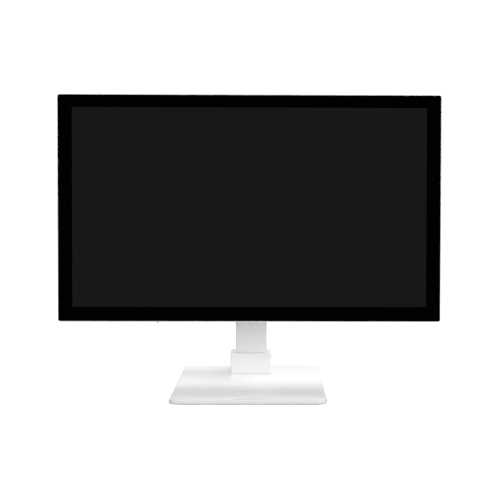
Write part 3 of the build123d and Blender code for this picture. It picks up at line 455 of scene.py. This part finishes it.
def lofted(outlines, looped):
    """A solid through matching outlines: a closed strip if looped, or else closed by a face at each end."""
    builder = bmesh.new()
    rings = [[builder.verts.new(point) for point in outline] for outline in outlines]
    for lower, upper in zip(rings, rings[1:] + rings[:1] if looped else rings[1:]):
        bridge(builder, lower, upper)
    if not looped:
        builder.faces.new(list(reversed(rings[0])))
        builder.faces.new(rings[-1])
    bmesh.ops.recalc_face_normals(builder, faces=builder.faces)
    return builder


# Dark parting line where the rear cover meets the front frame; the cover tapers from there
CASE_CORNER = 5 * MM
COVER_TAPER = 0.6
SEAM_START = 0.06 * MM
SEAM_END = 0.42 * MM
SEAM_PROUD = 0.02 * MM
SEAM_DEEP = 0.4 * MM
case_w = span("front_frame", SCREEN_RIGHT)
case_h = span("front_frame", SCREEN_UP)
case_centre = (0, middle("front_frame", SCREEN_UP))
case_back = extent("front_frame", SCREEN_OUT)[0]


def seam_outline(depth, proud):
    """The cover's outline at a depth behind the frame, standing proud of its side."""
    grow = 2 * (proud - COVER_TAPER * depth)
    return band_outline(case_w + grow, case_h + grow, CASE_CORNER + grow / 2, case_centre, case_back - depth)


case_seam = lofted([
    seam_outline(SEAM_START, SEAM_PROUD), seam_outline(SEAM_END, SEAM_PROUD),
    seam_outline(SEAM_END, -SEAM_DEEP), seam_outline(SEAM_START, -SEAM_DEEP)], looped=True)
add_piece("case_seam", case_seam, [FINISHES["black_plastic"]], "display")

# Thin foam line round the foot of the service cover
HUMP_CORNER = 12 * MM
GASKET_W = 0.35 * MM
GASKET_T = 0.25 * MM
GASKET_BEVEL_W = 0.14 * MM
GASKET_BEVEL_T = 0.15 * MM
pan_back = extent("rear_cover", SCREEN_OUT)[0]
hump_w = span("service_cover", SCREEN_RIGHT)
hump_h = span("service_cover", SCREEN_UP)
hump_centre = (0, middle("service_cover", SCREEN_UP))


def gasket_outline(grow, lift):
    """The service cover's outline, larger by grow, lifted to the rear off the pan."""
    return band_outline(hump_w + 2 * grow, hump_h + 2 * grow, HUMP_CORNER + grow, hump_centre,
                        pan_back - lift)


service_gasket = lofted([
    gasket_outline(GASKET_W, -GASKET_T), gasket_outline(GASKET_W, GASKET_T - GASKET_BEVEL_T),
    gasket_outline(GASKET_W - GASKET_BEVEL_W, GASKET_T), gasket_outline(-GASKET_W, GASKET_T),
    gasket_outline(-GASKET_W, -GASKET_T)], looped=True)
add_piece("service_gasket", service_gasket, [FINISHES["rubber"]], "display")

# White felt edge that closes the gap between the collar and the plate
SKIRT_CLEAR = 0.08 * MM
SKIRT_INSET = 0.05 * MM
SKIRT_W = 1.5 * MM
COLLAR_CORNER = 4 * MM
collar_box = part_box("collar_shell")
collar_low, collar_high = collar_box
skirt_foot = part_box("base_plate")[1].z + SKIRT_CLEAR
collar_skirt = lofted([
    level_outline(collar_box, COLLAR_CORNER, -SKIRT_INSET, skirt_foot),
    level_outline(collar_box, COLLAR_CORNER, -SKIRT_INSET, collar_low.z),
    level_outline(collar_box, COLLAR_CORNER, -SKIRT_W, collar_low.z),
    level_outline(collar_box, COLLAR_CORNER, -SKIRT_W, skirt_foot)], looped=True)
add_piece("collar_skirt", collar_skirt, [FINISHES["white_plastic"]], "column")

# White sleeve in the clearance between the column and the collar's opening
SLEEVE_DROP = 1.5 * MM
SLEEVE_SUNK = 0.05 * MM
SLEEVE_IN = 0.03 * MM
SLEEVE_OUT = 0.27 * MM
COLUMN_CORNER = 1.2 * MM
column_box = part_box("column_tube")
sleeve_top = collar_high.z - SLEEVE_SUNK
sleeve_foot = collar_high.z - SLEEVE_DROP
column_sleeve = lofted([
    level_outline(column_box, COLUMN_CORNER, SLEEVE_OUT, sleeve_top),
    level_outline(column_box, COLUMN_CORNER, SLEEVE_IN, sleeve_top),
    level_outline(column_box, COLUMN_CORNER, SLEEVE_IN, sleeve_foot),
    level_outline(column_box, COLUMN_CORNER, SLEEVE_OUT, sleeve_foot)], looped=True)
add_piece("column_sleeve", column_sleeve, [FINISHES["white_plastic"]], "column")

# A blank foil label with an embossed line near its edge, on the pan beside the service cover
LABEL_CENTRE = (-190 * MM, case_centre[1] - 62 * MM)
LABEL_SIZE = (66 * MM, 34 * MM)
LABEL_CORNER = 2.5 * MM
LABEL_T = 0.12 * MM
LABEL_EDGE_T = 0.072 * MM
GROOVE_START = 1.4 * MM
GROOVE_END = 2.1 * MM
GROOVE_SLOPE = 0.2 * MM
GROOVE_T = 0.06 * MM


def blank_label():
    finish = Finish("foil label", grey(0.55), 0.38, **{"Metallic": 0.25})
    finish.mottle((grey(0.53), grey(0.57)), scale=500, stretch=(1, 1, 0.05))
    return finish.polish(0.33, 0.43, scale=700, stretch=(1, 1, 0.05))


def label_outline(inset, lift):
    """The label's outline, drawn in by inset, lifted to the rear off the pan."""
    return band_outline(LABEL_SIZE[0] - 2 * inset, LABEL_SIZE[1] - 2 * inset, LABEL_CORNER - inset,
                        LABEL_CENTRE, pan_back - lift)


rating_label = lofted([
    label_outline(0, -LABEL_T), label_outline(0, LABEL_EDGE_T), label_outline(LABEL_T, LABEL_T),
    label_outline(GROOVE_START, LABEL_T), label_outline(GROOVE_START + GROOVE_SLOPE, GROOVE_T),
    label_outline(GROOVE_END - GROOVE_SLOPE, GROOVE_T), label_outline(GROOVE_END, LABEL_T)], looped=False)
add_piece("rating_label", rating_label, [blank_label().material], "display")

# The camera's lens: a threaded ring and a domed front element, inside the cover's opening.
# Radii are shares of the window's radius, and lifts are shares of the recess's depth
LENS_STEPS = 48
LENS_RECESS = 0.5 * MM
lens_x = middle("lens_window", SCREEN_RIGHT)
lens_up = middle("lens_window", SCREEN_UP)
lens_seat = extent("lens_window", SCREEN_OUT)[0]
lens_radius = span("lens_window", SCREEN_RIGHT) / 2

RING_RIM = ((0.99, 0), (0.99, 0.8), (0.96, 1))
RING_BORE = (0.74, 0)
THREADS = 4
THREAD_OUTER = 0.94
THREAD_PITCH = 0.04
THREAD_CUT = 0.02
THREAD_CREST = 0.95
THREAD_ROOT = 0.78
THREAD_FALL = 0.2
DOME_RADIUS = 0.72
DOME_HEIGHT = 0.9
DOME_STEPS = 8


def lens_circle(radius, lift):
    """A circle about the lens, lifted towards the rear from the window's outer face."""
    turns = [2 * math.pi * step / LENS_STEPS for step in range(LENS_STEPS)]
    return [on_screen(lens_x + lens_radius * radius * math.cos(turn),
                      lens_up + lens_radius * radius * math.sin(turn), lens_seat - LENS_RECESS * lift)
            for turn in turns]


ring_profile = list(RING_RIM)
for thread in range(THREADS):
    crest = THREAD_OUTER - THREAD_PITCH * thread
    ring_profile += [(crest, THREAD_CREST - THREAD_FALL * thread),
                     (crest - THREAD_CUT, THREAD_ROOT - THREAD_FALL * thread)]
ring_profile.append(RING_BORE)
lens_ring = lofted([lens_circle(*point) for point in ring_profile], looped=True)
add_piece("lens_ring", lens_ring, [FINISHES["black_plastic"]], "head")

rises = [math.pi / 2 * step / DOME_STEPS for step in range(DOME_STEPS)]
dome_circles = [lens_circle(DOME_RADIUS * math.cos(rise), DOME_HEIGHT * math.sin(rise)) for rise in rises]
lens_dome = lofted(dome_circles, looped=False)
for face in lens_dome.faces:
    face.smooth = True
add_piece("lens_dome", lens_dome, [FINISHES["lens_glass"]], "head")

# ----------------------------------------------------------------------------
# Stage: floor, backdrop and lights
# ----------------------------------------------------------------------------


def flat_sheet(name, corners, material):
    """A four-cornered stage surface."""
    mesh = bpy.data.meshes.new(name)
    mesh.from_pydata(corners, [], [(0, 1, 2, 3)])
    mesh.materials.append(material)
    sheet = bpy.data.objects.new(name, mesh)
    bpy.context.scene.collection.objects.link(sheet)
    return sheet


def glow(name, strength):
    """An even white glow."""
    material = bpy.data.materials.new(name)
    material.use_nodes = True
    nodes = material.node_tree.nodes
    nodes.clear()
    emission = nodes.new("ShaderNodeEmission")
    emission.inputs["Color"].default_value = WHITE
    emission.inputs["Strength"].default_value = strength
    output = nodes.new("ShaderNodeOutputMaterial")
    material.node_tree.links.new(emission.outputs["Emission"], output.inputs["Surface"])
    return material


def graded_glow(name, low, high, tones, depth=1.0):
    """A white glow that eases from tone to tone from height low to high, dimmed further as depth grows."""
    tones = [(place, 1 - (1 - tone) * depth) for place, tone in tones]
    material = glow(name, CARD_GLOW)
    nodes, links = material.node_tree.nodes, material.node_tree.links
    parts = nodes.new("ShaderNodeSeparateXYZ")
    links.new(nodes.new("ShaderNodeTexCoord").outputs["Object"], parts.inputs["Vector"])
    height = nodes.new("ShaderNodeMapRange")
    height.inputs["From Min"].default_value = low
    height.inputs["From Max"].default_value = high
    links.new(parts.outputs["Z"], height.inputs["Value"])
    ramp = nodes.new("ShaderNodeValToRGB")
    ramp.color_ramp.interpolation = "EASE"
    stops = ramp.color_ramp.elements
    stops[0].position, stops[0].color = tones[0][0], grey(tones[0][1])
    stops[1].position, stops[1].color = tones[-1][0], grey(tones[-1][1])
    for position, tone in tones[1:-1]:
        stops.new(position).color = grey(tone)
    links.new(height.outputs["Result"], ramp.inputs["Fac"])
    links.new(ramp.outputs["Color"], nodes["Emission"].inputs["Color"])
    return material


def hide_from(thing, *rays):
    """Makes a stage object unseen by these kinds of ray."""
    for ray in rays:
        setattr(thing, "visible_" + ray, False)


def mirrored_card(name, left, right, y, low, high, material):
    """An upright card across the plate, seen by mirror reflections and nothing else."""
    card = flat_sheet(name, [(left, y, low), (right, y, low), (right, y, high), (left, y, high)], material)
    hide_from(card, "camera", "diffuse", "transmission", "shadow")


def soft_sun(name, azimuth, elevation, spread, strength, mirrored):
    """Soft light from far off, angles in degrees. Azimuth 0 is the reader's side, 90 the right."""
    data = bpy.data.lights.new(name, "SUN")
    data.angle = math.radians(spread)
    data.energy = strength
    sun = bpy.data.objects.new(name, data)
    turn, rise = math.radians(azimuth), math.radians(elevation)
    away = Vector((math.sin(turn) * math.cos(rise), -math.cos(turn) * math.cos(rise), math.sin(rise)))
    sun.rotation_euler = (-away).to_track_quat("-Z", "Y").to_euler()
    sun.visible_glossy = mirrored
    bpy.context.scene.collection.objects.link(sun)


# Pale floor with a painted glow that fades out close to the base plate: a painted contact shade there, added to
# the real shade under the plate
FLOOR_HALF = 5.0
FLOOR_GLOW = 0.55
FLOOR_GLOW_UNDER = 0.05
SHADE_REACH = 3 * MM
PLATE_FRONT_CORNER = 14 * MM
floor_corners = [(-FLOOR_HALF, -FLOOR_HALF), (FLOOR_HALF, -FLOOR_HALF),
                 (FLOOR_HALF, FLOOR_HALF), (-FLOOR_HALF, FLOOR_HALF)]
floor_paint = Finish("pale floor", grey(0.93), 0.9, **{"Specular IOR Level": 0.0})
floor_paint.mottle((grey(0.92), grey(0.94)), scale=3)
floor_paint.paint_shade_near(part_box("base_plate"), PLATE_FRONT_CORNER, SHADE_REACH, FLOOR_GLOW_UNDER, FLOOR_GLOW)
floor = flat_sheet("floor", [(x, y, 0) for x, y in floor_corners], floor_paint.material)
hide_from(floor, "glossy", "diffuse")

# The light that the floor sends back up to the object, softer than the floor looks
BOUNCE_DROP = 2 * MM
BOUNCE_GLOW = 0.34
bounce = flat_sheet("floor_bounce", [(x, y, -BOUNCE_DROP) for x, y in floor_corners],
                    glow("floor bounce", BOUNCE_GLOW))
hide_from(bounce, "camera", "glossy")

# The room's white walls, which light and mirror nothing
ROOM_RADIUS = 4.9
ROOM_GLOW = 1.2
room_walls = bpy.data.meshes.new("room")
room_frame = bmesh.new()
bmesh.ops.create_uvsphere(room_frame, u_segments=48, v_segments=24, radius=ROOM_RADIUS)
room_frame.to_mesh(room_walls)
room_frame.free()
room_walls.materials.append(glow("white room", ROOM_GLOW))
room = bpy.data.objects.new("room", room_walls)
bpy.context.scene.collection.objects.link(room)
hide_from(room, "glossy", "diffuse", "transmission", "shadow")

# A lit wall behind the object, mirrored by the base plate
BACKDROP_HALF = 3.0
BACKDROP_Y = 2.6
BACKDROP_TOP = 2.4
BACKDROP_GLOW = 1.1
backdrop = flat_sheet("backdrop", [(-BACKDROP_HALF, BACKDROP_Y, 0), (BACKDROP_HALF, BACKDROP_Y, 0),
                                   (BACKDROP_HALF, BACKDROP_Y, BACKDROP_TOP),
                                   (-BACKDROP_HALF, BACKDROP_Y, BACKDROP_TOP)],
                      glow("lit backdrop", BACKDROP_GLOW))
hide_from(backdrop, "camera")

# Dim soft-edged cards that are seen only in mirror reflections, above all the base plate's: a
# strip in front of the column, and a lower one behind the collar on the left, where the strip
# starts higher. Each tone is a share of the card's glow at a share of its height
CARD_X = 135 * MM
CARD_GAP = 4 * MM
CARD_GLOW = 1.25
STRIP_LOW = 7.5 * MM
STRIP_LEFT_LOW = 17 * MM
STRIP_HIGH = 46.5 * MM
STRIP_TONES = ((0.17, 0.97), (0.72, 0.39), (0.88, 0.53), (1.0, 0.87))
STRIP_RIGHT_DEPTH = 1.17
REAR_LOW = 9 * MM
REAR_HIGH = 28 * MM
REAR_TONES = ((0.0, 0.89), (0.4, 0.6), (1.0, 0.72))

strip_glow = graded_glow("strip", STRIP_LOW, STRIP_HIGH, STRIP_TONES)
deep_glow = graded_glow("deeper strip", STRIP_LOW, STRIP_HIGH, STRIP_TONES, STRIP_RIGHT_DEPTH)
rear_glow = graded_glow("rear card", REAR_LOW, REAR_HIGH, REAR_TONES)
strip_y = collar_low.y - CARD_GAP
mirrored_card("strip_left", -CARD_X, collar_low.x, strip_y, STRIP_LEFT_LOW, STRIP_HIGH, strip_glow)
mirrored_card("strip_middle", collar_low.x, collar_high.x, strip_y, STRIP_LOW, STRIP_HIGH, strip_glow)
mirrored_card("strip_right", collar_high.x, CARD_X, strip_y, STRIP_LOW, STRIP_HIGH, deep_glow)
mirrored_card("rear_card", -CARD_X, collar_low.x, collar_high.y + CARD_GAP, REAR_LOW, REAR_HIGH, rear_glow)

world = bpy.data.worlds.new("studio")
world.use_nodes = True
world.node_tree.nodes["Background"].inputs["Color"].default_value = (0, 0, 0, 1)
world.node_tree.nodes["Background"].inputs["Strength"].default_value = 0.0
bpy.context.scene.world = world

# Name, azimuth, elevation, spread, strength, and whether mirror reflections show it
SUNS = (
    ("front light", 10, 50, 30, 0.6, False),
    ("left fill", -42, 24, 30, 0.88, False),
    ("right fill", 48, 26, 30, 1.05, False),
    ("low left fill", -28, 8, 14, 0.56, False),
    ("low right fill", 28, 8, 14, 0.56, False),
    ("right key", 101, 16, 6, 0.9, True),
    ("high right fill", 84, 38, 20, 0.6, False),
    ("rear light", 150, 50, 40, 1.25, True),
    ("rear left fill", -140, 25, 40, 0.9, True),
    ("side left fill", -97, 14, 30, 0.55, False),
)
for sun in SUNS:
    soft_sun(*sun)

# ----------------------------------------------------------------------------
# Camera
# ----------------------------------------------------------------------------

CAMERA_PLACE = (0.0336, -1.1347, 0.2988)
CAMERA_PITCH = math.radians(4.537)
CAMERA_YAW = math.radians(0.446)
CAMERA_ROLL = 0.0026
CAMERA_SHIFT = -0.0559
CAMERA_LENS_MM = 54
CAMERA_SENSOR_MM = 36

camera = bpy.data.objects.new("camera", bpy.data.cameras.new("camera"))
camera.data.lens = CAMERA_LENS_MM
camera.data.sensor_width = CAMERA_SENSOR_MM
camera.data.shift_x = CAMERA_SHIFT
turn = Euler((math.pi / 2 - CAMERA_PITCH, 0, -CAMERA_YAW)).to_matrix().to_4x4()
camera.matrix_world = Matrix.Translation(CAMERA_PLACE) @ turn @ Matrix.Rotation(CAMERA_ROLL, 4, "Z")
bpy.context.scene.collection.objects.link(camera)
bpy.context.scene.camera = camera
bpy.context.scene.view_settings.view_transform = "Standard"
